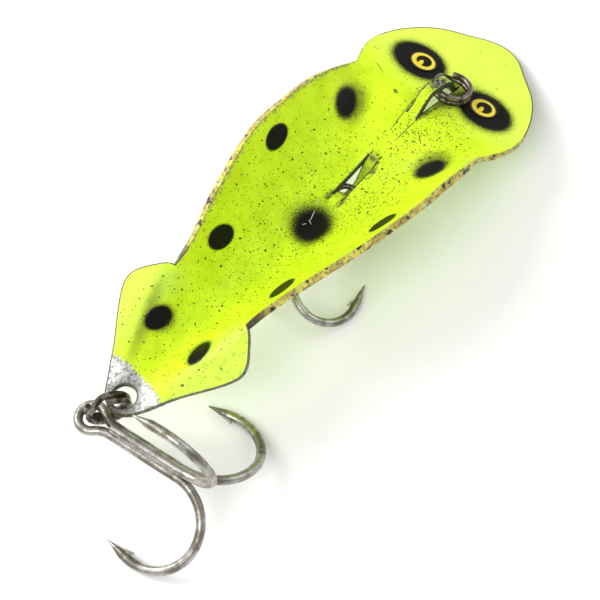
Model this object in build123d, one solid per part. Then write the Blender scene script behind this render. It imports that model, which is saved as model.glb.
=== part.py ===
from build123d import *
import math
import os

# Stamped metal fishing lure in frog colours: a flat rounded head, a trough body and a flared
# tail, with two lanced bridges, three split rings, a belly hook and a tail hook.
# It lies on its head lip and hook bends, hollow side up.
# +X runs from tail to head, +Y is the lure's left, +Z is up.
# Every piece is made about the plate's centre plane; at the end the whole is moved so that
# the origin is at the bottom centre of its box.

os.makedirs("parts", exist_ok=True)

# ---------------------------------------------------------------- driving dimensions (mm)
SHEET = 0.9            # plate thickness
HEAD_X = 41.8          # front of the head lip
HEAD_HALF = 12.4       # half width of the head
SHOULDER_X = 24.4      # notch between head and body
SHOULDER_HALF = 10.75
BODY_HALF = 11.5       # widest half width of the body
WAIST_X = -13.1        # notch between body and tail
WAIST_HALF = 6.2
FIN_HALF = 10.1        # half width of the tail fins
TAIL_X = -31.6         # rear end of the tail
TROUGH = 9.0           # depth of the trough at its deepest
TAIL_HOLE_X = -29.2
TAIL_HOLE_R = 1.65

STRIP = 1.5            # width of the lanced bridges
BRIDGE_LIFT = 2.95     # rise of a bridge from the plate's middle to its own middle
LANCE_GAP = 0.06       # clearance beside a lanced strip
ROOT_THIN = 0.02       # how much a bridge strip is thinned on each face
TIE_X = 28.1           # where the line tie ring passes under its bridge
BELLY_X = 11.9         # where the belly ring passes over its bridge

EYE_R = 1.95           # printed eye disc
EYE_X = 31.4
EYE_Y = 5.3
EYE_THICK = 0.06
FILM_GAP = 0.03        # clearance under the printed discs

SMALL_RING_OD = 5.4    # line tie and belly split rings
SMALL_RING_WIRE = 0.75
TAIL_RING_OD = 6.1
TAIL_RING_WIRE = 0.85
COIL_GAP = 0.04        # clearance between the two coils of a split ring
CROSSOVER = 30.0       # half the turn in which the wire passes from coil to coil, degrees
TIE_YAW = -20.0        # way the line tie ring lies, degrees left of straight ahead
BELLY_RING_YAW = 190.0 # way the belly ring is laid back
BELLY_RING_DROP = 25.0
TAIL_RING_YAW = 153.0
TAIL_RING_DROP = 28.0

BELLY_WIRE = 1.1
BELLY_EYE_BORE = 2.0
BELLY_GAPE = 8.9
BELLY_SHANK = 8.8      # eye centre to the start of the bend
BELLY_POINT = 0.6      # straight part of the point leg
BELLY_SPREAD = 67.0    # turn of each bend from straight down, degrees
BELLY_ROLL = -3.5
BELLY_YAW = 191.0
BELLY_RISE = 7.5

TAIL_WIRE = 1.25
TAIL_EYE_BORE = 2.3
TAIL_GAPE = 12.4
TAIL_SHANK = 13.8
TAIL_POINT = 0.8
TAIL_SPREAD = 60.0
TAIL_YAW = -81.6
TAIL_RISE = 2.0
SINGLE_START = 3.4     # upper end of the third shank, from the eye centre

SHANK_GAP = 0.03       # clearance between shanks laid side by side
POINT_LEAN = 11.0      # extra turn of a bend, so that the point leans in, degrees
POINT_LONG = 2.6       # length of the tapered point
SOLDER_GAP = 0.01      # clearance between the solder and the wires


# ---------------------------------------------------------------- the formed sheet
def along(stations, x):
    """Smooth curve through (x, value) stations, held level past the ends."""
    if x <= stations[0][0]:
        return stations[0][1]
    if x >= stations[-1][0]:
        return stations[-1][1]
    last = len(stations) - 1
    i = max(k for k in range(last) if stations[k][0] <= x)
    (x0, v0), (x1, v1) = stations[i], stations[i + 1]
    before = stations[max(i - 1, 0)]
    after = stations[min(i + 2, last)]
    slope0 = (v1 - before[1]) / (x1 - before[0])
    slope1 = (after[1] - v0) / (after[0] - x0)
    t = (x - x0) / (x1 - x0)
    span = x1 - x0
    return (
        v0 * (2 * t**3 - 3 * t**2 + 1)
        + slope0 * span * (t**3 - 2 * t**2 + t)
        + v1 * (3 * t**2 - 2 * t**3)
        + slope1 * span * (t**3 - t**2)
    )


KEEL_Z = [(-32, 9.4), (-24, 9.0), (-13, 7.9), (-4, 6.9), (5, 6.4), (14, 6.9),
          (22, 8.6), (26, 8.1), (32, 5.5), (38, 2.85), (42.4, 0.45), (45, -1.2)]
# share of the full trough depth that the walls rise, along the lure
WALL_SHARE = [(-32, 0.0), (-29, 0.02), (-19, 0.40), (-13, 0.62), (-6, 0.80), (1, 0.96), (7, 1.0),
              (13, 0.82), (17, 0.62), (21, 0.30), (24.5, 0.04), (28, 0.0)]
# half width at which the wall has risen that far
WALL_HALF = [(-32, 1.6), (-24, 3.6), (WAIST_X, WAIST_HALF), (-5.5, 7.9), (0.4, 9.6), (6.6, 11.0),
             (13.5, BODY_HALF), (24, SHOULDER_HALF + 0.2), (42, HEAD_HALF)]
# squareness of the trough's section: 1 is a V, 2 a round bowl, 3 a flat floor with steep rims
WALL_POWER = [(-32, 1.2), (-13, 1.3), (-6, 1.45), (8, 1.65), (14, 1.9), (20, 2.8), (28, 3.0)]
CREASE = 1.2           # softness of the fold between trough and fin
KEEL_SOFT = 1.0        # softness of the fold along the keel
FIN_FALL = 0.12        # slope of the tail fins, falling outwards
FIN_END = 8.0          # length ahead of the waist over which the fold dies out


def soft(y):
    """Distance from the keel line with its corner rounded."""
    return math.hypot(y, KEEL_SOFT) - KEEL_SOFT


def sheet_z(x, y):
    """Height of the plate's upper face."""
    rise = TROUGH * along(WALL_SHARE, x)
    half = along(WALL_HALF, x)
    wall = rise * (soft(y) / soft(half)) ** along(WALL_POWER, x)
    fin = rise - FIN_FALL * (abs(y) - half)
    fade = min(max((x - WAIST_X) / FIN_END, 0.0), 1.0)
    fin += 4 * CREASE * fade * fade * (3 - 2 * fade)
    return along(KEEL_Z, x) + 0.5 * (wall + fin - math.hypot(wall - fin, CREASE)) + CREASE / 4


def sheet_normal(x, y):
    """Upward unit normal of the formed sheet."""
    h = 0.02
    dx = (sheet_z(x + h, y) - sheet_z(x - h, y)) / (2 * h)
    dy = (sheet_z(x, y + h) - sheet_z(x, y - h)) / (2 * h)
    return Vector(-dx, -dy, 1).normalized()


def sheet_point(x, y, depth):
    """Point below the upper face, square to the sheet."""
    return Vector(x, y, sheet_z(x, y)) - sheet_normal(x, y) * depth


GRID_X = 39
GRID_Y = 23
GRID_HALF = max(HEAD_HALF, BODY_HALF, FIN_HALF) + 1.5
GRID_REAR = TAIL_X - 1.5
GRID_FRONT = HEAD_X + 1.5


def sheet_face(depth):
    """Large face that follows the formed sheet at one depth."""
    across = [GRID_HALF * (2 * j / (GRID_Y - 1) - 1) for j in range(GRID_Y)]
    lengthwise = [GRID_REAR + (GRID_FRONT - GRID_REAR) * i / (GRID_X - 1) for i in range(GRID_X)]
    rows = [[sheet_point(x, y, depth) for y in across] for x in lengthwise]
    return Face.make_surface_from_array_of_points(rows, tol=0.03)


def trimmed(face, edges, depth):
    """The part of a sheet face inside an outline cut square to the sheet."""
    moved = []
    for edge in edges:
        steps = max(8, int(edge.length / 1.5))
        points = []
        for k in range(steps + 1):
            at = edge.position_at(k / steps)
            low = sheet_point(at.X, at.Y, depth)
            points.append((low.X, low.Y if abs(at.Y) > 1e-6 else 0.0))
        moved.append(Spline(*points))
    return extrude(Face(Wire(moved)), amount=60, both=True).intersect(face)[0]


def formed(edges, top_face, top, bottom_face, bottom):
    """Solid between two sheet faces, with its cut edge square to the sheet."""
    upper = trimmed(top_face, edges, top)
    lower = trimmed(bottom_face, edges, bottom)
    left = list(lower.edges())
    sides = []
    for edge in upper.edges():
        mate = min(left, key=lambda other: (other.center() - edge.center()).length)
        left.remove(mate)
        sides.append(Face.make_surface_from_curves(edge, mate))
    return Solid(Shell([upper, lower] + sides))


# outline of the blank, one side, from the middle of the lip to the middle of the tail end
head_side = Spline(
    (HEAD_X, 0), (HEAD_X - 2.0, 0.37 * HEAD_HALF), (HEAD_X - 4.0, 0.62 * HEAD_HALF),
    (HEAD_X - 7.0, 0.84 * HEAD_HALF), (HEAD_X - 12.4, HEAD_HALF), (SHOULDER_X, SHOULDER_HALF),
    tangents=[(0, 1), (-0.85, -0.52)],
)
body_side = Spline(
    (SHOULDER_X, SHOULDER_HALF), (13.5, BODY_HALF), (6.6, 11.0), (0.4, 9.6), (-5.5, 7.9),
    (WAIST_X, WAIST_HALF),
    tangents=[(-1, 0.16), (-1, -0.06)],
)
fin_side = Spline(
    (WAIST_X, WAIST_HALF), (-15.0, 8.5), (-17.6, FIN_HALF), (-20.6, 9.0), (-25.1, 5.7),
    (TAIL_HOLE_X - 0.9, 2.5),
    tangents=[(-0.35, 1), (-1, -0.66)],
)
tail_end = ThreePointArc(
    (TAIL_HOLE_X - 0.9, 2.5), (TAIL_X + 0.45, 1.35), (TAIL_X, 0),
)
half_outline = [head_side, body_side, fin_side, tail_end]
outline = half_outline + [edge.mirror(Plane.XZ) for edge in half_outline]

top_face = sheet_face(0.0)
plate = formed(outline, top_face, 0.0, sheet_face(SHEET), SHEET)
plate -= Pos(TAIL_HOLE_X, 0, 0) * Cylinder(TAIL_HOLE_R, 60)


# ---------------------------------------------------------------- lanced bridges
def middle_z(x):
    """Height of the plate's middle on the keel line."""
    return sheet_z(x, 0) - SHEET / 2 / sheet_normal(x, 0).Z


def bridge(stations, lift):
    """Strip bent away from the plate; stations are (x, share of the lift)."""
    middle = Spline(*[(x, 0, middle_z(x) + lift * share) for x, share in stations])
    half = SHEET / 2 - ROOT_THIN
    over = []
    under = []
    for k in range(33):
        at = middle.position_at(k / 32)
        along_strip = middle.tangent_at(k / 32)
        square = Vector(-along_strip.Z, 0, along_strip.X)
        over.append(at + square * half)
        under.append(at - square * half)
    under.reverse()
    profile = Wire([
        Spline(*over), Line(over[-1], under[0]), Spline(*under), Line(under[-1], over[0]),
    ])
    return extrude(Face(profile), amount=STRIP / 2, both=True, dir=(0, 1, 0))


def slot(rear, front):
    """Opening left by a lanced strip."""
    return Pos((rear + front) / 2, 0, 0) * Box(front - rear, STRIP + 2 * LANCE_GAP, 60)


TIE_ROOT = TIE_X - 4.9         # long ramp behind the line tie ring
TIE_FOOT = TIE_X + 3.0         # steep leg in front of it
BELLY_ROOT = BELLY_X + 4.2     # long ramp in front of the belly ring
BELLY_FOOT = BELLY_X - 3.0     # steeper leg behind it
tie_bridge = bridge(
    [(TIE_ROOT - 0.9, 0), (TIE_ROOT, 0), (TIE_X - 4.1, 0.12), (TIE_X - 2.9, 0.54),
     (TIE_X - 1.5, 0.95), (TIE_X, 1.0), (TIE_X + 1.5, 0.94), (TIE_X + 2.15, 0.54),
     (TIE_X + 2.5, 0.15), (TIE_FOOT + 0.4, 0), (TIE_FOOT + 1.1, 0)],
    BRIDGE_LIFT,
)
belly_bridge = bridge(
    [(BELLY_FOOT - 1.1, 0), (BELLY_FOOT - 0.2, 0), (BELLY_X - 2.4, 0.14), (BELLY_X - 1.75, 0.55),
     (BELLY_X - 1.05, 0.92), (BELLY_X, 1.0), (BELLY_X + 1.1, 0.92), (BELLY_X + 2.2, 0.56),
     (BELLY_X + 3.3, 0.14), (BELLY_ROOT, 0), (BELLY_ROOT + 0.9, 0)],
    -BRIDGE_LIFT,
)
plate -= slot(TIE_ROOT, TIE_FOOT)
plate -= slot(BELLY_FOOT, BELLY_ROOT)
plate = plate + tie_bridge + belly_bridge
plate = plate.solid()

# printed eyes: thin discs of film that follow the head
film_top = FILM_GAP + EYE_THICK
film_faces = (sheet_face(-film_top), sheet_face(-FILM_GAP))
eye_discs = []
for side in (1, -1):
    rim = [
        ThreePointArc((EYE_X - EYE_R, side * EYE_Y), (EYE_X, side * EYE_Y + EYE_R),
                      (EYE_X + EYE_R, side * EYE_Y)),
        ThreePointArc((EYE_X + EYE_R, side * EYE_Y), (EYE_X, side * EYE_Y - EYE_R),
                      (EYE_X - EYE_R, side * EYE_Y)),
    ]
    eye_discs.append(formed(rim, film_faces[0], -film_top, film_faces[1], -FILM_GAP))


# ---------------------------------------------------------------- split rings
def split_ring(outside, wire):
    """Two flat coils about Z joined by a crossover; the wire's ends meet beside it."""
    r = (outside - wire) / 2
    half = (wire + COIL_GAP) / 2
    swing = math.radians(CROSSOVER)

    def on_ring(angle, z):
        return Vector(r * math.cos(angle), r * math.sin(angle), z)

    first = ThreePointArc(on_ring(swing, -half), on_ring(math.pi, -half), on_ring(-swing, -half))
    second = ThreePointArc(on_ring(swing, half), on_ring(math.pi, half), on_ring(-swing, half))
    cross = Spline(
        on_ring(-swing, -half), on_ring(0, 0), on_ring(swing, half),
        tangents=[(math.sin(swing), math.cos(swing), 0), (-math.sin(swing), math.cos(swing), 0)],
    )
    path = Wire([first, cross, second])
    return sweep(Plane(path @ 0, z_dir=path % 0) * Circle(wire / 2), path=path)


def ring_at(ring, outside, wire, near, way, normal):
    """Places a ring with its wire at one point, lying along a direction."""
    r = (outside - wire) / 2
    across = normal.cross(way)
    return Plane(near + way * r, x_dir=across, z_dir=normal).location * ring


small_ring = split_ring(SMALL_RING_OD, SMALL_RING_WIRE)
tail_ring = split_ring(TAIL_RING_OD, TAIL_RING_WIRE)

# line tie ring: under the head bridge, lying along the head to one side
tie_normal = sheet_normal(TIE_X + 2, 0)
tie_yaw = math.radians(TIE_YAW)
tie_way = Vector(math.cos(tie_yaw), math.sin(tie_yaw), 0)
tie_way = (tie_way - tie_normal * tie_way.dot(tie_normal)).normalized()
bridge_gap = BRIDGE_LIFT - SHEET + ROOT_THIN
tie_at = Vector(TIE_X, 0, middle_z(TIE_X) + SHEET / 2 / tie_normal.Z + bridge_gap / 2)
line_tie_ring = ring_at(small_ring, SMALL_RING_OD, SMALL_RING_WIRE, tie_at, tie_way, tie_normal)

# belly ring: over the pressed-down bridge, laid back under the keel
belly_yaw = math.radians(BELLY_RING_YAW)
belly_drop = math.radians(BELLY_RING_DROP)
belly_across = Vector(math.sin(belly_yaw), -math.cos(belly_yaw), 0)
belly_way = Vector(
    math.cos(belly_yaw) * math.cos(belly_drop), math.sin(belly_yaw) * math.cos(belly_drop),
    -math.sin(belly_drop),
)
belly_normal = belly_across.cross(belly_way)
belly_at = Vector(BELLY_X, 0, middle_z(BELLY_X) - SHEET / 2 - bridge_gap / 2)
belly_ring = ring_at(small_ring, SMALL_RING_OD, SMALL_RING_WIRE, belly_at, belly_way, belly_normal)
belly_far = belly_at + belly_way * (SMALL_RING_OD - SMALL_RING_WIRE)

# tail ring: through the tail hole, standing on edge
tail_yaw = math.radians(TAIL_RING_YAW)
tail_drop = math.radians(TAIL_RING_DROP)
tail_way = Vector(
    math.cos(tail_yaw) * math.cos(tail_drop), math.sin(tail_yaw) * math.cos(tail_drop),
    -math.sin(tail_drop),
)
tail_normal = Vector(math.sin(tail_yaw), -math.cos(tail_yaw), 0)
tail_at = Vector(TAIL_HOLE_X, 0, middle_z(TAIL_HOLE_X))
tail_ring = ring_at(tail_ring, TAIL_RING_OD, TAIL_RING_WIRE, tail_at, tail_way, tail_normal)
tail_far = tail_at + tail_way * (TAIL_RING_OD - TAIL_RING_WIRE)


# ---------------------------------------------------------------- hooks
def bend_edges(start, shank, gape, point, turn):
    """Shank, round bend and point leg; turn is the bend's way from straight down."""
    lateral = Vector(0, math.sin(math.radians(turn)), -math.cos(math.radians(turn)))
    ahead = Vector(1, 0, 0)
    r = gape / 2
    knee = Vector(shank, start.Y, start.Z)

    def on_bend(angle):
        return knee + ahead * (r * math.sin(angle)) + lateral * (r - r * math.cos(angle))

    full = math.radians(180 + POINT_LEAN)
    back = ahead * math.cos(full) + lateral * math.sin(full)
    return [
        Line(start, knee),
        ThreePointArc(on_bend(0), on_bend(full / 2), on_bend(full)),
        Line(on_bend(full), on_bend(full) + back * point),
    ]


def point_and_barb(leg, wire, shank_side):
    """Tapered point past the leg's end, with a barb cut up on the inner side."""
    tip = leg @ 1
    back = (leg % 1).normalized()
    inward = (shank_side - back * shank_side.dot(back)).normalized()
    cone = Solid.make_cone(wire / 2, 0.08, POINT_LONG, Plane(tip, x_dir=inward, z_dir=back))
    root = tip + back * (POINT_LONG * 0.45)
    heel = tip - back * (wire * 0.9)
    barb_face = Face(Wire.make_polygon([
        root + inward * (wire * 0.12),
        heel + inward * (wire * 0.95),
        heel + inward * (wire * 0.72),
        tip + inward * (wire * 0.12),
    ], close=True))
    barb = extrude(barb_face, amount=wire * 0.16, both=True)
    return cone + barb


def wire_along(edges, wire):
    """Round wire along joined edges."""
    path = Wire(edges)
    return sweep(Plane(path @ 0, z_dir=path % 0) * Circle(wire / 2), path=path)


def reverse_edge(edge):
    """The same line or arc run the other way."""
    if edge.geom_type == GeomType.LINE:
        return Line(edge @ 1, edge @ 0)
    return ThreePointArc(edge @ 1, edge @ 0.5, edge @ 0)


def double_hook(wire, bore, shank, gape, point, turns):
    """One wire bent into an eye with two shanks side by side, each with a bend and a point."""
    a = (wire + SHANK_GAP) / 2
    eye_r = (bore + wire) / 2
    opening = math.radians(50)
    neck_r = (eye_r * math.sin(opening) - a) / (1 - math.sin(opening))
    neck_x = (eye_r + neck_r) * math.cos(opening)
    centre = Vector(neck_x, a + neck_r, 0)
    mid = (math.pi * 1.5 + math.pi + opening) / 2
    neck = ThreePointArc(
        (eye_r * math.cos(opening), eye_r * math.sin(opening)),
        centre + Vector(math.cos(mid), math.sin(mid), 0) * neck_r,
        (neck_x, a),
    )
    eye = ThreePointArc(
        (eye_r * math.cos(opening), -eye_r * math.sin(opening)),
        (-eye_r, 0),
        (eye_r * math.cos(opening), eye_r * math.sin(opening)),
    )
    plus = bend_edges(Vector(neck_x, a, 0), shank, gape, point, turns[0])
    minus = bend_edges(Vector(neck_x, -a, 0), shank, gape, point, turns[1])
    lower_neck = neck.mirror(Plane.XZ)
    route = [reverse_edge(edge) for edge in reversed(minus)]
    route += [reverse_edge(lower_neck), eye, neck] + plus
    body = wire_along(route, wire)
    for leg, turn in ((plus[-1], turns[0]), (minus[-1], turns[1])):
        inner = Vector(0, -math.sin(math.radians(turn)), math.cos(math.radians(turn)))
        body += point_and_barb(leg, wire, inner)
    return body.solid()


def single_hook(wire, shank, gape, point):
    """Third hook: a plain shank in the groove of the other two, bent straight up."""
    height = math.sqrt((wire + SHANK_GAP) ** 2 - ((wire + SHANK_GAP) / 2) ** 2)
    edges = bend_edges(Vector(SINGLE_START, 0, height), shank, gape, point, 180)
    body = wire_along(edges, wire)
    body += point_and_barb(edges[-1], wire, Vector(0, 0, -1))
    return body.solid()


def solder_bead(wire, shank, height, start):
    """Bead of solder along the groove, before the wires are taken out of it."""
    length = shank - start - 1.5
    bead = Cylinder(wire * 0.62, length, rotation=(0, 90, 0))
    bead += Pos(length / 2, 0, 0) * Sphere(wire * 0.62)
    bead += Pos(-length / 2, 0, 0) * Sphere(wire * 0.62)
    return Pos(start + 0.9 + length / 2, 0, height) * bead


def shank_rod(wire, shank, y, z):
    """Straight stretch of a shank, a little oversize."""
    return Pos(shank / 2, y, z) * Cylinder(wire / 2 + SOLDER_GAP, shank * 1.2, rotation=(0, 90, 0))


def hook_frame(centre, yaw, rise, roll):
    """Frame at a hook's eye: X down the shank, Z up."""
    yaw, rise, roll = (math.radians(value) for value in (yaw, rise, roll))
    ahead = Vector(math.cos(rise) * math.cos(yaw), math.cos(rise) * math.sin(yaw), math.sin(rise))
    up = (Vector(0, 0, 1) - ahead * ahead.Z).normalized()
    up = up * math.cos(roll) + ahead.cross(up) * math.sin(roll)
    return Plane(centre, x_dir=ahead, z_dir=up)


# belly hook: its eye stands upright, so its shanks lie one above the other
belly_turns = (BELLY_SPREAD - 90, -90 - BELLY_SPREAD)
belly_double = double_hook(
    BELLY_WIRE, BELLY_EYE_BORE, BELLY_SHANK, BELLY_GAPE, BELLY_POINT, belly_turns
)
belly_solder = solder_bead(BELLY_WIRE, BELLY_SHANK, 0, 3.2)
belly_pitch = (BELLY_WIRE + SHANK_GAP) / 2
belly_solder -= shank_rod(BELLY_WIRE, BELLY_SHANK, belly_pitch, 0)
belly_solder -= shank_rod(BELLY_WIRE, BELLY_SHANK, -belly_pitch, 0)
belly_frame = hook_frame(belly_far, BELLY_YAW, BELLY_RISE, BELLY_ROLL)
belly_frame = Plane(belly_far, x_dir=belly_frame.x_dir, z_dir=-belly_frame.y_dir)
belly_place = belly_frame.location
belly_double = belly_place * belly_double
belly_solder = belly_place * belly_solder

# tail hook: a double hook with a third hook brazed into the groove on top
tail_double = double_hook(
    TAIL_WIRE, TAIL_EYE_BORE, TAIL_SHANK, TAIL_GAPE, TAIL_POINT, (TAIL_SPREAD, -TAIL_SPREAD)
)
tail_single = single_hook(TAIL_WIRE, TAIL_SHANK, TAIL_GAPE, TAIL_POINT)
tail_pitch = (TAIL_WIRE + SHANK_GAP) / 2
tail_high = math.sqrt(3) * tail_pitch
tail_solder = solder_bead(TAIL_WIRE, TAIL_SHANK, tail_high / 3, SINGLE_START + 0.6)
tail_solder -= shank_rod(TAIL_WIRE, TAIL_SHANK, tail_pitch, 0)
tail_solder -= shank_rod(TAIL_WIRE, TAIL_SHANK, -tail_pitch, 0)
tail_solder -= shank_rod(TAIL_WIRE, TAIL_SHANK, 0, tail_high)
tail_frame = hook_frame(tail_far, TAIL_YAW, TAIL_RISE, 0)
tail_place = tail_frame.location
tail_double = tail_place * tail_double
tail_single = tail_place * tail_single
tail_solder = tail_place * tail_solder


# ---------------------------------------------------------------- common frame and files
pieces = {
    "body_plate": plate,
    "left_eye_disc": eye_discs[0],
    "right_eye_disc": eye_discs[1],
    "line_tie_ring": line_tie_ring,
    "belly_ring": belly_ring,
    "belly_double_hook": belly_double,
    "belly_hook_solder": belly_solder,
    "tail_ring": tail_ring,
    "tail_double_hook": tail_double,
    "tail_single_hook": tail_single,
    "tail_hook_solder": tail_solder,
}
box = Compound(children=[Compound(piece.solids()) for piece in pieces.values()]).bounding_box()
shift = Vector(-(box.min.X + box.max.X) / 2, -(box.min.Y + box.max.Y) / 2, -box.min.Z)
for name, piece in pieces.items():
    export_step(Pos(*shift) * piece, f"parts/{name}.step")
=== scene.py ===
import math

import bpy
from mathutils import Matrix, Vector


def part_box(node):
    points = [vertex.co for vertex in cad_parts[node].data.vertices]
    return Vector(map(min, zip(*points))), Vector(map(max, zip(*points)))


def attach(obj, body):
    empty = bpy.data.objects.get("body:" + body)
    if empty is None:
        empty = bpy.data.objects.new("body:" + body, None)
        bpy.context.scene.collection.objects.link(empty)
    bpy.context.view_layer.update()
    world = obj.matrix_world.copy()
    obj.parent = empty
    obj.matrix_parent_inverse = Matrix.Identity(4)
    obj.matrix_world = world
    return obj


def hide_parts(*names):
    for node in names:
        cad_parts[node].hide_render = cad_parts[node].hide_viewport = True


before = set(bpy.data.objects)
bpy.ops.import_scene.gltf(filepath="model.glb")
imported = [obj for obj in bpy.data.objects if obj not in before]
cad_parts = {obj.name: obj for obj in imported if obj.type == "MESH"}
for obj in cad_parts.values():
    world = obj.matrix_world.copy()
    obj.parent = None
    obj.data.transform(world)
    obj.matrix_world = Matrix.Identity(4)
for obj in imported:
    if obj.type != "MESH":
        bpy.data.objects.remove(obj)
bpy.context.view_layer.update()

# ---------------------------------------------------------------- stance and camera
# The lure lies on its head lip and hook bends. Its own frame has its zero on the keel line,
# 41.8 mm behind the lip; the camera looks down on it from behind and to its right.
bpy.ops.object.select_all(action="DESELECT")
plate_low, plate_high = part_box("body_plate")
LIP = 0.0418
keel_zero = Vector((plate_high.x - LIP, (plate_low.y + plate_high.y) / 2, 0))

right = Vector((0.6886, -0.7198, -0.0876)).normalized()
back = Vector((-0.2419, -0.3420, 0.9080))
back = (back - right * back.dot(right)).normalized()
upward = back.cross(right)
AIM_DROP = 0.0103
CAMERA_DISTANCE = 0.350
aim = keel_zero - Vector((0, 0, AIM_DROP))
eye_point = aim + back * CAMERA_DISTANCE
view = Matrix((
    (right.x, upward.x, back.x, eye_point.x),
    (right.y, upward.y, back.y, eye_point.y),
    (right.z, upward.z, back.z, eye_point.z),
    (0, 0, 0, 1),
))
bpy.ops.object.camera_add()
camera = bpy.context.active_object
camera.name = "studio_camera"
camera.matrix_world = view
camera.data.sensor_width = 36
camera.data.lens = 157.5
camera.data.clip_start = 0.01
bpy.context.scene.camera = camera
bpy.context.scene.view_settings.view_transform = "Standard"


# ---------------------------------------------------------------- table and light
# A sheet of white paper under one large soft lamp from the lure's left, with a fill from the
# other side, so that the shadow of the raised right wall spreads softly over the table.
def add(tree, kind, inputs=None, **settings):
    """Adds a shader node, sets or links its inputs, and returns it."""
    node = tree.nodes.new("ShaderNode" + kind)
    for name, value in settings.items():
        setattr(node, name, value)
    for key, value in (inputs or {}).items():
        if isinstance(value, bpy.types.NodeSocket):
            tree.links.new(value, node.inputs[key])
        else:
            node.inputs[key].default_value = value
    return node


def new_finish(name, **sockets):
    """A new material; the sockets are fixed numbers on its surface shader."""
    material = bpy.data.materials.new(name)
    material.use_nodes = True
    tree = material.node_tree
    shader = tree.nodes["Principled BSDF"]
    for key, value in sockets.items():
        shader.inputs[key.replace("_", " ")].default_value = value
    return material, tree, shader


bpy.ops.mesh.primitive_plane_add(size=3.0, location=(0, 0, 0))
table = bpy.context.active_object
table.name = "table_paper"
paper, tree, shader = new_finish("white_paper", Roughness=0.75)
grain = add(tree, "TexNoise", {"Scale": 9.0, "Detail": 4.0})
tone = add(tree, "ValToRGB", {"Fac": grain.outputs["Fac"]})
tone.color_ramp.elements[0].color = (0.86, 0.86, 0.86, 1)
tone.color_ramp.elements[1].color = (0.90, 0.90, 0.90, 1)
tree.links.new(tone.outputs["Color"], shader.inputs["Base Color"])
table.data.materials.append(paper)


def soft_lamp(name, place, size, power, colour=(1, 1, 1)):
    """A square softbox that faces the lure."""
    bpy.ops.object.light_add(type="AREA", location=place)
    lamp = bpy.context.active_object
    lamp.name = name
    lamp.data.size = size
    lamp.data.energy = power
    lamp.data.color = colour
    lamp.rotation_euler = (Vector(place) - Vector((0, 0, 0.01))).to_track_quat("Z", "Y").to_euler()
    return lamp


soft_lamp("window_softbox", (-0.16, 0.52, 0.38), 0.42, 3.9)
soft_lamp("overhead_panel", (-0.45, -0.05, 0.70), 0.50, 3.2)
soft_lamp("front_fill", (0.50, -0.30, 0.45), 0.50, 1.2)
world = bpy.data.worlds.new("studio_room")
bpy.context.scene.world = world
world.use_nodes = True
world.node_tree.nodes["Background"].inputs["Color"].default_value = (1, 1, 1, 1)
world.node_tree.nodes["Background"].inputs["Strength"].default_value = 0.56


# ---------------------------------------------------------------- plate
# Brass sheet, 0.9 mm thick, blanked and pressed to a trough, with its two bridges lanced out of
# it. The faces are lacquered chartreuse over white; the cut edge has lost most of its paint.
def own_copy(node_name, name):
    """A piece of our own with the shape of a CAD node, joined to one skin."""
    piece = bpy.data.objects.new(name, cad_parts[node_name].data.copy())
    bpy.context.scene.collection.objects.link(piece)
    piece.data.materials.clear()
    bpy.ops.object.select_all(action="DESELECT")
    bpy.context.view_layer.objects.active = piece
    piece.select_set(True)
    bpy.ops.mesh.customdata_custom_splitnormals_clear()
    bpy.ops.object.mode_set(mode="EDIT")
    bpy.ops.mesh.select_all(action="SELECT")
    bpy.ops.mesh.remove_doubles(threshold=1e-6)
    bpy.ops.mesh.select_all(action="DESELECT")
    bpy.ops.object.mode_set(mode="OBJECT")
    return piece


def pick_skin(piece, index, near, facing):
    """Gives a material index to the smooth skin that holds the face nearest to a point."""
    faces = [f for f in piece.data.polygons if f.normal.dot(Vector(facing)) > 0.7]
    seed = min(faces, key=lambda f: (f.center - Vector(near)).length).index
    bpy.ops.object.mode_set(mode="EDIT")
    bpy.ops.mesh.select_mode(type="FACE")
    bpy.ops.mesh.select_all(action="DESELECT")
    bpy.ops.object.mode_set(mode="OBJECT")
    piece.data.polygons[seed].select = True
    piece.data.polygons.active = seed
    bpy.ops.object.mode_set(mode="EDIT")
    bpy.ops.mesh.faces_select_linked_flat(sharpness=math.radians(42))
    piece.active_material_index = index
    bpy.ops.object.material_slot_assign()
    bpy.ops.object.mode_set(mode="OBJECT")


plate = own_copy("body_plate", "lure_plate")

# lacquer: all its patterns are laid out in millimetres on the keel line
LIME = (0.60, 0.82, 0.018, 1)
LIME_DEEP = (0.51, 0.71, 0.010, 1)
BLACK = (0.003, 0.003, 0.002, 1)


def blend_colour(tree, factor, first, second):
    """Mixes two colours by a mask."""
    node = tree.nodes.new("ShaderNodeMix")
    node.data_type = "RGBA"
    for index, value in ((0, factor), (6, first), (7, second)):
        if isinstance(value, bpy.types.NodeSocket):
            tree.links.new(value, node.inputs[index])
        else:
            node.inputs[index].default_value = value
    return node.outputs[2]


def work(tree, operation, first, second=0.0, third=0.0):
    """One step of arithmetic on masks."""
    node = add(tree, "Math", {0: first, 1: second, 2: third}, operation=operation)
    return node.outputs[0]


def ramp(tree, value, low, high, from_value=0.0, to_value=1.0):
    """Smooth step of a value between two limits."""
    node = add(
        tree, "MapRange",
        {"Value": value, "From Min": low, "From Max": high, "To Min": from_value, "To Max": to_value},
        interpolation_type="SMOOTHSTEP",
    )
    return node.outputs["Result"]


def lure_millimetres(tree):
    """Position on the lure in millimetres, and the same with its right side folded over."""
    place = add(tree, "TexCoord").outputs["Object"]
    moved = add(tree, "VectorMath", {0: place, 1: keel_zero}, operation="SUBTRACT").outputs[0]
    mm = add(tree, "VectorMath", {0: moved, "Scale": 1000.0}, operation="SCALE").outputs[0]
    parts = add(tree, "SeparateXYZ", {0: mm})
    side = work(tree, "ABSOLUTE", parts.outputs["Y"])
    folded = add(tree, "CombineXYZ", {0: parts.outputs["X"], 1: side, 2: parts.outputs["Z"]})
    return mm, folded.outputs[0], parts


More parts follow.
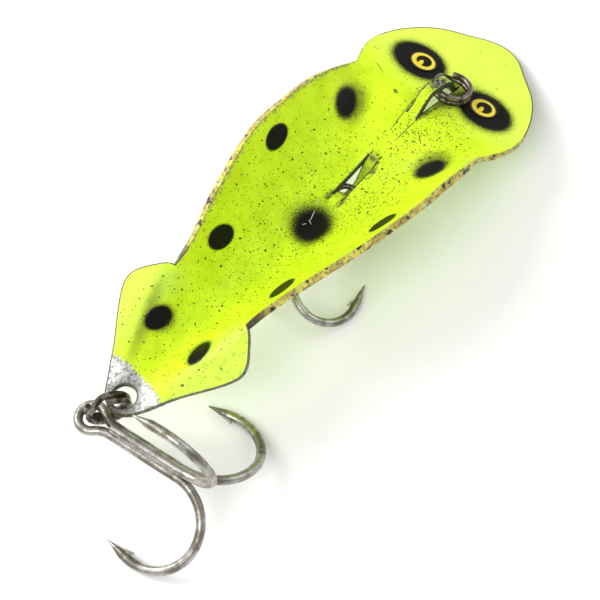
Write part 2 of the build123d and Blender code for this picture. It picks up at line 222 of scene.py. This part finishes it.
def grain_of(tree, mm, scale, detail=3.0, rough=0.5, seed=0.0):
    """Noise with a grain of so many cells per millimetre."""
    shifted = add(tree, "VectorMath", {0: mm, 1: (seed, seed * 1.7, -seed)}, operation="ADD").outputs[0]
    node = add(tree, "TexNoise", {"Vector": shifted, "Scale": scale, "Detail": detail, "Roughness": rough})
    return node.outputs["Fac"]


def oval(tree, where, centre, half, turn, inner, outer, ragged=None, amount=0.0):
    """Mask of an oval seen from above: 1 inside the inner share of its size, 0 past the outer."""
    local = add(
        tree, "Mapping",
        {"Vector": where, "Location": (*centre, 0), "Rotation": (0, 0, math.radians(turn)),
         "Scale": (*half, 1000)},
        vector_type="TEXTURE",
    ).outputs[0]
    reach = add(tree, "VectorMath", {0: local}, operation="LENGTH").outputs["Value"]
    if ragged is not None:
        shake = work(tree, "MULTIPLY", work(tree, "SUBTRACT", ragged, 0.5), amount)
        reach = work(tree, "ADD", reach, shake)
    return ramp(tree, reach, inner, outer, 1.0, 0.0)


def strongest(tree, masks):
    """The largest of several masks."""
    total = masks[0]
    for mask in masks[1:]:
        total = work(tree, "MAXIMUM", total, mask)
    return total


def specks(tree, mm, per_mm, size, amount, seed):
    """Round specks of grime; amount is a mask of how many there are."""
    shifted = add(tree, "VectorMath", {0: mm, 1: (seed, -seed, seed)}, operation="ADD").outputs[0]
    warp = add(tree, "TexNoise", {"Vector": shifted, "Scale": per_mm * 1.6, "Detail": 2.0}).outputs["Color"]
    warp = add(tree, "VectorMath", {0: warp, "Scale": 0.55 / per_mm}, operation="SCALE").outputs[0]
    shifted = add(tree, "VectorMath", {0: shifted, 1: warp}, operation="ADD").outputs[0]
    cells = add(tree, "TexVoronoi", {"Vector": shifted, "Scale": per_mm, "Randomness": 1.0})
    chance = add(tree, "SeparateColor", {0: cells.outputs["Color"]})
    reach = work(tree, "MULTIPLY", chance.outputs[1], size)
    dot = ramp(tree, work(tree, "SUBTRACT", cells.outputs["Distance"], reach), 0.0, 0.07, 1.0, 0.0)
    present = work(tree, "LESS_THAN", chance.outputs[0], amount)
    return work(tree, "MULTIPLY", dot, present)


lacquer, tree, shader = new_finish(
    "chartreuse_lacquer", Coat_Roughness=0.18, Coat_Weight=0.03, Specular_IOR_Level=0.14,
)
mm, folded, parts = lure_millimetres(tree)
fine = grain_of(tree, mm, 3.2, 4.0, 0.6)
coarse = grain_of(tree, mm, 0.35, 4.0, 0.55, seed=11)
mist = grain_of(tree, mm, 9.0, 2.0, 0.7, seed=5)

# sprayed frog markings
spots = [
    oval(tree, folded, (-19.2, 3.6), (2.05, 1.15), -8, 0.84, 1.12, mist, 0.35),
    oval(tree, folded, (-6.1, 5.35), (2.1, 1.0), 2, 0.88, 1.10, mist, 0.25),
    oval(tree, folded, (8.3, 9.2), (2.1, 0.9), 10, 0.88, 1.10, mist, 0.25),
    oval(tree, folded, (18.9, 7.4), (2.2, 1.35), 30, 0.75, 1.25, mist, 0.5),
    oval(tree, mm, (3.9, -0.45), (2.55, 2.4), 0, 0.75, 1.35, mist, 0.8),
    oval(tree, folded, (30.9, 5.75), (2.85, 4.15), 0, 0.86, 1.08, mist, 0.35),
]
halos = [
    oval(tree, folded, (19.6, 6.9), (3.6, 2.5), 30, 0.35, 1.05, mist, 1.2),
    oval(tree, mm, (4.2, -0.2), (4.3, 4.0), 0, 0.45, 1.0, mist, 1.2),
    oval(tree, folded, (30.8, 5.75), (3.6, 4.9), 0, 0.7, 1.05, mist, 0.9),
    oval(tree, folded, (-19.0, 3.4), (2.7, 1.8), -8, 0.5, 1.0, mist, 1.0),
]
spot = strongest(tree, spots)
halo = work(tree, "MULTIPLY", strongest(tree, halos), 0.72)

# painted shade: olive darkening along the left fold of the tail, where the trough wall turns away from the
# lamp, and on the belly strip sunk down in the hollow
fold_shade = oval(tree, mm, (-20.0, 4.7), (7.6, 1.15), 20, 0.05, 1.15, coarse, 0.9)
strip_shade = oval(tree, mm, (14.9, 0.0), (2.6, 0.95), 0, 0.75, 1.05)
fold_and_strip_shade = work(
    tree, "MAXIMUM", work(tree, "MULTIPLY", fold_shade, 0.82), work(tree, "MULTIPLY", strip_shade, 0.42),
)

ground = blend_colour(tree, ramp(tree, coarse, 0.35, 0.70), LIME, LIME_DEEP)
# painted light: the flat head is made paler towards the lip, as if it caught more of the lamp
head_highlight = work(tree, "MULTIPLY", ramp(tree, parts.outputs["X"], 24.5, 31.0), 0.55)
ground = blend_colour(tree, head_highlight, ground, (0.76, 0.93, 0.14, 1))
on_tail = ramp(tree, parts.outputs["X"], -14.5, -12.0, 1, 0)
off_keel = ramp(tree, work(tree, "ABSOLUTE", parts.outputs["Y"]), 3.2, 5.4)
fin = work(tree, "MULTIPLY", on_tail, off_keel)
ground = blend_colour(tree, work(tree, "MULTIPLY", fin, 0.75), ground, (0.55, 0.79, 0.075, 1))
web = work(tree, "MULTIPLY", ramp(tree, grain_of(tree, mm, 1.7, 5.0, 0.75, seed=37), 0.52, 0.60), fin)
web = work(tree, "MULTIPLY", web, ramp(tree, parts.outputs["Y"], -1.0, -4.0, 0.15, 0.55))
ground = blend_colour(tree, web, ground, (0.22, 0.30, 0.05, 1))
# the painted shade of the fold and of the sunken strip goes into the ground colour
ground = blend_colour(tree, fold_and_strip_shade, ground, (0.20, 0.26, 0.02, 1))

# grime: specks thickest between the line tie and the right shoulder, thin on head and fins
thick = strongest(tree, [
    oval(tree, mm, (23.0, -3.5), (7.5, 6.5), 20, 0.2, 1.15, coarse, 0.9),
    oval(tree, mm, (12.0, -4.5), (11.0, 4.5), 0, 0.2, 1.2, coarse, 0.9),
    work(tree, "MULTIPLY", oval(tree, mm, (4.0, 0.0), (26.0, 11.0), 0, 0.3, 1.1), 0.40),
    work(tree, "MULTIPLY", oval(tree, mm, (-21.0, 0.0), (7.0, 9.0), 0, 0.3, 1.1), 0.25),
])
on_head = ramp(tree, parts.outputs["X"], 27.5, 31.0, 1.0, 0.12)
many = work(tree, "MULTIPLY", work(tree, "ADD", work(tree, "MULTIPLY", thick, 1.25), 0.09), on_head)
grime = strongest(tree, [
    work(tree, "MULTIPLY", specks(tree, mm, 2.3, 0.27, many, 3.0), 0.90),
    work(tree, "MULTIPLY", specks(tree, mm, 4.2, 0.33, many, 19.0), 0.85),
    work(tree, "MULTIPLY", specks(tree, mm, 1.2, 0.19, many, 31.0), 0.90),
])
cloud = ramp(tree, grain_of(tree, mm, 1.3, 5.0, 0.7, seed=53), 0.42, 0.62, 0.05, 0.38)
haze = work(tree, "MULTIPLY", thick, cloud)
ground = blend_colour(tree, work(tree, "MULTIPLY", haze, on_head), ground, (0.24, 0.32, 0.015, 1))
ground = blend_colour(tree, grime, ground, (0.030, 0.042, 0.008, 1))
inked = blend_colour(tree, halo, ground, (0.02, 0.022, 0.008, 1))
colour_so_far = blend_colour(tree, spot, inked, BLACK)

# painted shade in the lance gaps beside and under the two bridges; dark nicks, pale scratches in the middle
# spot
bridge_shade = strongest(tree, [
    oval(tree, mm, (8.7, 0.9), (1.2, 0.6), 0, 0.1, 1.2, fine, 2.4),
    oval(tree, mm, (9.0, -1.0), (1.4, 0.5), 0, 0.1, 1.2, fine, 2.4),
    oval(tree, mm, (14.6, -1.2), (1.1, 0.5), 0, 0.1, 1.2, fine, 2.4),
    oval(tree, mm, (15.9, 0.0), (0.5, 1.1), 0, 0.1, 1.2, fine, 2.0),
    oval(tree, mm, (25.0, 1.1), (2.4, 0.45), 6, 0.1, 1.2, fine, 2.4),
    oval(tree, mm, (24.8, -1.1), (2.6, 0.5), -4, 0.1, 1.2, fine, 2.4),
    oval(tree, mm, (28.8, -1.4), (2.8, 1.3), 0, 0.4, 1.2, fine, 1.4),
    oval(tree, mm, (27.4, -1.2), (1.9, 0.55), 4, 0.5, 1.2, fine, 1.2),
    oval(tree, mm, (26.4, 1.15), (2.0, 0.40), 4, 0.4, 1.2, fine, 1.4),
    oval(tree, mm, (28.2, 1.5), (2.2, 0.9), 0, 0.3, 1.2, fine, 1.8),
    oval(tree, mm, (28.6, 0.0), (2.0, 0.9), 0, 0.2, 1.2, mist, 2.6),
])
nicks = strongest(tree, [
    oval(tree, mm, (21.8, 0.9), (2.2, 0.09), 8, 0.5, 1.1, fine, 1.2),
    oval(tree, mm, (21.4, -0.9), (2.6, 0.09), -3, 0.5, 1.1, fine, 1.2),
    oval(tree, mm, (21.5, -3.1), (1.4, 0.10), 52, 0.4, 1.1, fine, 1.5),
    oval(tree, mm, (26.0, 8.2), (1.3, 0.08), 75, 0.4, 1.1, fine, 1.5),
    oval(tree, mm, (24.6, 4.0), (0.5, 0.35), 75, 0.4, 1.1, fine, 1.5),
    oval(tree, mm, (12.5, -7.9), (1.0, 0.08), 10, 0.4, 1.1, fine, 1.5),
])
# painted shade at the bridges, laid on in near-black
colour_so_far = blend_colour(tree, work(tree, "MULTIPLY", bridge_shade, 0.8), colour_so_far, (0.035, 0.035, 0.018, 1))
colour_so_far = blend_colour(tree, work(tree, "MULTIPLY", nicks, 0.85), colour_so_far, (0.05, 0.06, 0.02, 1))
scratch = strongest(tree, [
    oval(tree, mm, (5.1, 0.55), (1.1, 0.055), 20, 0.5, 1.0),
    oval(tree, mm, (4.2, 0.15), (0.5, 0.05), 70, 0.5, 1.0),
    oval(tree, mm, (3.5, 0.5), (0.35, 0.05), -30, 0.5, 1.0),
    oval(tree, mm, (6.9, 1.3), (0.7, 0.045), 30, 0.5, 1.0),
])
colour_so_far = blend_colour(tree, scratch, colour_so_far, (0.55, 0.58, 0.50, 1))

# rubbed border of the body: paint gone in spots along both edges, brown beneath
HALF_WIDTHS = [      # half width of the body at each place along the keel, in millimetres
    (-13.1, 6.2), (-5.5, 7.9), (0.4, 9.6), (6.6, 11.0), (12.0, 11.45), (18.0, 11.3), (24.4, 10.75),
]
CURVE_STEP = 0.02    # the curve runs from 0 to 1, for 50 mm of keel and 20 mm of half width
CURVE_START = 0.4
CURVE_TOP = 20
border = add(tree, "FloatCurve", {
    "Value": work(tree, "MULTIPLY_ADD", parts.outputs["X"], CURVE_STEP, CURVE_START),
})
spots_on_curve = [(x * CURVE_STEP + CURVE_START, half / CURVE_TOP) for x, half in HALF_WIDTHS]
curve = border.mapping.curves[0]
for place in spots_on_curve[1:-1]:
    curve.points.new(*place)
curve.points[0].location = spots_on_curve[0]
curve.points[len(curve.points) - 1].location = spots_on_curve[-1]
border.mapping.update()
half_width = work(tree, "MULTIPLY", border.outputs[0], CURVE_TOP)
inset = work(tree, "SUBTRACT", half_width, work(tree, "ABSOLUTE", parts.outputs["Y"]))
past_waist = ramp(tree, parts.outputs["X"], -13.0, -11.0)
before_shoulder = ramp(tree, parts.outputs["X"], 22.5, 24.2, 1, 0)
on_body = work(tree, "MULTIPLY", past_waist, before_shoulder)
ragged_rim = work(tree, "ADD", inset, work(tree, "MULTIPLY", work(tree, "SUBTRACT", fine, 0.5), 2.6))
rim_wear = work(tree, "MULTIPLY", ramp(tree, ragged_rim, 0.05, 0.30, 1.0, 0.0), on_body)
rim_tone = blend_colour(tree, ramp(tree, mist, 0.45, 0.60), (0.10, 0.06, 0.02, 1), (0.52, 0.46, 0.26, 1))
colour_so_far = blend_colour(tree, work(tree, "MULTIPLY", rim_wear, 0.85), colour_so_far, rim_tone)

# paint worn off: the tail tip, and chips on top of the line tie bridge
tip_line = work(tree, "ADD", parts.outputs["X"], work(tree, "MULTIPLY", fine, 2.6))
tip_line = work(tree, "ADD", tip_line, work(tree, "MULTIPLY", coarse, 2.4))
side = work(tree, "ABSOLUTE", work(tree, "SUBTRACT", parts.outputs["Y"], 0.9))
tip_line = work(tree, "ADD", tip_line, work(tree, "MULTIPLY", side, 0.22))
bare = ramp(tree, tip_line, -23.35, -22.95, 1.0, 0.0)
chip = oval(tree, mm, (28.3, -0.1), (1.3, 0.75), 0, 0.3, 1.0, fine, 3.4)
chip = work(tree, "MULTIPLY", chip, ramp(tree, parts.outputs["Z"], 8.9, 9.6))
bare = work(tree, "MAXIMUM", bare, chip)
scuff = ramp(tree, grain_of(tree, mm, 1.5, 6.0, 0.75, seed=23), 0.47, 0.58)
flakes = ramp(tree, grain_of(tree, mm, 1.1, 4.0, 0.6, seed=25), 0.40, 0.52)
flaked = work(tree, "MULTIPLY", ramp(tree, tip_line, -24.3, -23.3), flakes)
scuff = work(tree, "MAXIMUM", scuff, flaked)
hole_grime = oval(tree, mm, (-29.2, 0), (2.7, 2.7), 0, 0.6, 1.1, fine, 1.4)
metal_dark = strongest(tree, [work(tree, "MULTIPLY", scuff, 0.75), work(tree, "MULTIPLY", hole_grime, 0.7)])
metal = blend_colour(tree, metal_dark, (0.60, 0.60, 0.58, 1), (0.07, 0.066, 0.055, 1))
top_colour = blend_colour(tree, bare, colour_so_far, metal)
crest = oval(tree, mm, (28.9, 0.1), (1.7, 1.0), 0, 0.2, 1.2, fine, 2.6)
crest = work(tree, "MULTIPLY", crest, ramp(tree, grain_of(tree, mm, 2.4, 3.0, 0.6, seed=29), 0.44, 0.54))
top_colour = blend_colour(tree, work(tree, "MULTIPLY", crest, 0.92), top_colour, (0.012, 0.012, 0.008, 1))
tree.links.new(top_colour, shader.inputs["Base Color"])
tree.links.new(work(tree, "MULTIPLY", bare, 0.85), shader.inputs["Metallic"])
gloss = work(tree, "ADD", 0.30, work(tree, "MULTIPLY", coarse, 0.16))
gloss = work(tree, "ADD", gloss, work(tree, "MULTIPLY", grime, 0.3))
tree.links.new(gloss, shader.inputs["Roughness"])
height = work(tree, "SUBTRACT", work(tree, "MULTIPLY", fine, 0.10), work(tree, "MULTIPLY", bare, 0.9))
height = work(tree, "ADD", height, work(tree, "MULTIPLY", grime, 0.5))
height = work(tree, "SUBTRACT", height, work(tree, "MULTIPLY", nicks, 0.8))
bump = add(tree, "Bump", {"Height": height, "Distance": 0.00004, "Strength": 0.6})
tree.links.new(bump.outputs[0], shader.inputs["Normal"])
plate.data.materials.append(lacquer)

# underside: the same lacquer without markings, rubbed along the keel
under, tree, shader = new_finish(
    "underside_lacquer", Coat_Roughness=0.18, Coat_Weight=0.12, Specular_IOR_Level=0.3,
)
mm, folded, parts = lure_millimetres(tree)
fine = grain_of(tree, mm, 3.2, 4.0, 0.6, seed=41)
coarse = grain_of(tree, mm, 0.35, 4.0, 0.55, seed=47)
ground = blend_colour(tree, ramp(tree, coarse, 0.35, 0.70), LIME, LIME_DEEP)
rub = oval(tree, mm, (2.0, 0.0), (27.0, 1.6), 0, 0.2, 1.15, fine, 1.6)
rub = work(tree, "MULTIPLY", rub, ramp(tree, fine, 0.45, 0.62))
few = work(tree, "MULTIPLY", coarse, 0.25)
grime = work(tree, "MULTIPLY", specks(tree, mm, 2.3, 0.26, few, 7.0), 0.7)
colour_so_far = blend_colour(tree, grime, ground, (0.055, 0.075, 0.012, 1))
rub = work(tree, "MAXIMUM", rub, ramp(tree, parts.outputs["X"], -27.2, -26.4, 1.0, 0.0))
tree.links.new(blend_colour(tree, rub, colour_so_far, (0.52, 0.46, 0.30, 1)), shader.inputs["Base Color"])
tree.links.new(work(tree, "MULTIPLY", rub, 0.85), shader.inputs["Metallic"])
tree.links.new(work(tree, "ADD", 0.32, work(tree, "MULTIPLY", fine, 0.2)), shader.inputs["Roughness"])
height = work(tree, "SUBTRACT", fine, rub)
bump = add(tree, "Bump", {"Height": height, "Distance": 0.00003, "Strength": 0.5})
tree.links.new(bump.outputs[0], shader.inputs["Normal"])
plate.data.materials.append(under)

# cut edge: ochre lacquer remains, brown tarnish and bright rubbed brass, and painted shade on the walls of
# the lanced slots
edge, tree, shader = new_finish("worn_and_shaded_cut_edge")
mm, folded, parts = lure_millimetres(tree)
fine = grain_of(tree, mm, 2.2, 5.0, 0.65, seed=61)
patch = grain_of(tree, mm, 0.55, 4.0, 0.6, seed=67)
paint_left = ramp(tree, patch, 0.42, 0.56)
brown = ramp(tree, fine, 0.50, 0.60)
bright = ramp(tree, grain_of(tree, mm, 1.3, 4.0, 0.6, seed=71), 0.60, 0.68)
tone = blend_colour(tree, paint_left, (0.42, 0.33, 0.07, 1), (0.62, 0.58, 0.09, 1))
tone = blend_colour(tree, work(tree, "MULTIPLY", brown, 0.8), tone, (0.10, 0.065, 0.025, 1))
chips = ramp(tree, grain_of(tree, mm, 0.9, 3.0, 0.5, seed=77), 0.60, 0.64)
tone = blend_colour(tree, chips, tone, (0.025, 0.02, 0.012, 1))
tone = blend_colour(tree, bright, tone, (0.60, 0.57, 0.44, 1))
past_waist = ramp(tree, parts.outputs["X"], -12.0, -9.0)
before_head = ramp(tree, parts.outputs["X"], 30.0, 33.0, 1, 0)
thin_line = work(tree, "SUBTRACT", 1.0, work(tree, "MULTIPLY", past_waist, before_head))
tone = blend_colour(tree, work(tree, "MULTIPLY", thin_line, 0.92), tone, (0.045, 0.038, 0.02, 1))
# painted shade: the cut walls of the lanced slots near the keel are darkened to olive black
near_keel = work(tree, "LESS_THAN", work(tree, "ABSOLUTE", parts.outputs["Y"]), 1.5)
lance_wall_shade = work(tree, "MULTIPLY", near_keel, work(tree, "GREATER_THAN", parts.outputs["X"], 5.0))
lance_wall_shade = work(tree, "MULTIPLY", lance_wall_shade, work(tree, "LESS_THAN", parts.outputs["X"], 36.0))
tone = blend_colour(tree, lance_wall_shade, tone, (0.045, 0.06, 0.015, 1))
tree.links.new(tone, shader.inputs["Base Color"])
tree.links.new(work(tree, "MULTIPLY", bright, 0.9), shader.inputs["Metallic"])
tree.links.new(work(tree, "ADD", 0.35, work(tree, "MULTIPLY", brown, 0.35)), shader.inputs["Roughness"])
bump = add(tree, "Bump", {"Height": fine, "Distance": 0.00008, "Strength": 0.8})
tree.links.new(bump.outputs[0], shader.inputs["Normal"])
plate.data.materials.append(edge)

TOP, UNDER, EDGE = 0, 1, 2
for face in plate.data.polygons:
    face.material_index = EDGE
pick_skin(plate, TOP, keel_zero + Vector((-0.005, 0.001, 0.008)), (0, 0, 1))
pick_skin(plate, UNDER, keel_zero + Vector((-0.005, 0.001, 0.006)), (0, 0, -1))

# the strips of the bridges keep their paint
for face in plate.data.polygons:
    middle = (face.center - keel_zero) * 1000
    on_strip = abs(middle.y) < 1.4 and 8 < middle.x < 33 and abs(face.normal.z) > 0.35
    if face.material_index == EDGE and on_strip:
        face.material_index = TOP if face.normal.z > 0 else UNDER

# a narrow worn rim inside the outline of both skins
RIM = 0.00016
for skin in (TOP, UNDER):
    bpy.ops.object.mode_set(mode="EDIT")
    bpy.ops.mesh.select_mode(type="FACE")
    bpy.ops.mesh.select_all(action="DESELECT")
    bpy.ops.object.mode_set(mode="OBJECT")
    for face in plate.data.polygons:
        face.select = face.material_index == skin
    bpy.ops.object.mode_set(mode="EDIT")
    bpy.ops.mesh.inset(thickness=RIM, depth=0, use_even_offset=False)
    bpy.ops.object.mode_set(mode="OBJECT")
    for face in plate.data.polygons:
        middle = (face.center - keel_zero) * 1000
        across_bridge = abs(middle.y) < 0.66 and 5 < middle.x < 33
        if face.material_index == skin and not face.select and not across_bridge:
            face.material_index = EDGE
bpy.ops.object.shade_smooth_by_angle(angle=math.radians(38))
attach(plate, "plate")
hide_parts("body_plate")


# ---------------------------------------------------------------- printed eyes
# A thin disc of printed film on each side of the head: yellow iris with a pale rim and a dark
# outline, and a black pupil with a notch, on a black ground.
def eye_print(name, node_name):
    """Eye artwork laid out from the disc's own middle."""
    low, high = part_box(node_name)
    middle = ((low + high) / 2 - keel_zero) * 1000
    at = (middle.x - 0.25, middle.y)
    film, tree, shader = new_finish(
        name, Roughness=0.30, Coat_Weight=0.08, Coat_Roughness=0.10, Specular_IOR_Level=0.2,
    )
    mm, folded, parts = lure_millimetres(tree)
    fine = grain_of(tree, mm, 6.0, 3.0, 0.6, seed=83)
    iris = oval(tree, mm, at, (1.48, 1.85), 0, 0.95, 1.0)
    rim = oval(tree, mm, at, (1.30, 1.66), 0, 0.95, 1.02)
    inner = oval(tree, mm, at, (1.17, 1.50), 0, 0.93, 1.02)
    pupil = oval(tree, mm, (at[0] + 0.08, at[1] - 0.05), (0.92, 1.12), 0, 0.92, 1.02)
    notch = oval(tree, mm, (at[0] - 0.50, at[1] + 0.05), (0.62, 0.33), 12, 0.85, 1.05)
    pupil = work(tree, "MULTIPLY", pupil, work(tree, "SUBTRACT", 1.0, notch))
    colour = blend_colour(tree, iris, BLACK, (0.16, 0.12, 0.01, 1))
    colour = blend_colour(tree, rim, colour, (0.82, 0.72, 0.12, 1))
    colour = blend_colour(tree, inner, colour, (0.74, 0.58, 0.025, 1))
    colour = blend_colour(tree, pupil, colour, BLACK)
    rub = work(tree, "MULTIPLY", ramp(tree, fine, 0.60, 0.72), 0.35)
    tree.links.new(blend_colour(tree, rub, colour, (0.10, 0.09, 0.03, 1)), shader.inputs["Base Color"])
    bump = add(tree, "Bump", {"Height": fine, "Distance": 0.00001, "Strength": 0.4})
    tree.links.new(bump.outputs[0], shader.inputs["Normal"])
    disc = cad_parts[node_name]
    for place in disc.material_slots:
        place.material = film


eye_print("left_eye_print", "left_eye_disc")
eye_print("right_eye_print", "right_eye_disc")


# ---------------------------------------------------------------- split rings
# Three split rings of spring wire, two coils each, sprung open over the bridges, the tail hole
# and the hook eyes. They have gone dark and brown, with bright rub marks.
def tarnished(name, dark, light, brown, cells, share, seed, roughness_depth=0.00004):
    """Metal wire with patches of tarnish; share sets how much of it is still bright."""
    metal, tree, shader = new_finish(name, Metallic=1.0)
    mm, folded, parts = lure_millimetres(tree)
    patch = grain_of(tree, mm, cells, 5.0, 0.6, seed=seed)
    pits = grain_of(tree, mm, cells * 5, 3.0, 0.6, seed=seed + 7)
    rust = ramp(tree, grain_of(tree, mm, cells * 1.6, 4.0, 0.6, seed=seed + 13), 0.54, 0.66)
    tone = blend_colour(tree, ramp(tree, patch, share, share + 0.16), light, dark)
    tone = blend_colour(tree, work(tree, "MULTIPLY", rust, 0.75), tone, brown)
    tone = blend_colour(tree, work(tree, "MULTIPLY", ramp(tree, pits, 0.50, 0.64), 0.55), tone, dark)
    tree.links.new(tone, shader.inputs["Base Color"])
    rough = work(tree, "ADD", 0.24, work(tree, "MULTIPLY", patch, 0.25))
    rough = work(tree, "ADD", rough, work(tree, "MULTIPLY", rust, 0.2))
    tree.links.new(rough, shader.inputs["Roughness"])
    bump = add(tree, "Bump", {"Height": pits, "Distance": roughness_depth, "Strength": 0.8})
    tree.links.new(bump.outputs[0], shader.inputs["Normal"])
    return metal


ring_wire = tarnished(
    "oxidised_ring_wire", (0.045, 0.036, 0.028, 1), (0.27, 0.235, 0.20, 1), (0.10, 0.055, 0.03, 1),
    0.9, 0.44, 101,
)
for node_name in ("line_tie_ring", "belly_ring", "tail_ring"):
    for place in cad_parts[node_name].material_slots:
        place.material = ring_wire


# ---------------------------------------------------------------- hooks and solder
# Tinned hook wire with cut barbs. The belly hook is a double; the tail hook is a double with a
# third hook brazed on top. Tin has dulled to grey with olive-brown stains.
hook_wire = tarnished(
    "tinned_hook_wire", (0.19, 0.175, 0.145, 1), (0.44, 0.425, 0.39, 1), (0.17, 0.14, 0.085, 1),
    0.28, 0.46, 131,
)
for node_name in ("belly_double_hook", "tail_double_hook", "tail_single_hook"):
    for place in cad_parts[node_name].material_slots:
        place.material = hook_wire

solder = tarnished(
    "dull_solder", (0.19, 0.18, 0.155, 1), (0.52, 0.51, 0.48, 1), (0.16, 0.135, 0.09, 1),
    1.2, 0.50, 151, roughness_depth=0.00012,
)
for node_name in ("belly_hook_solder", "tail_hook_solder"):
    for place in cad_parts[node_name].material_slots:
        place.material = solder
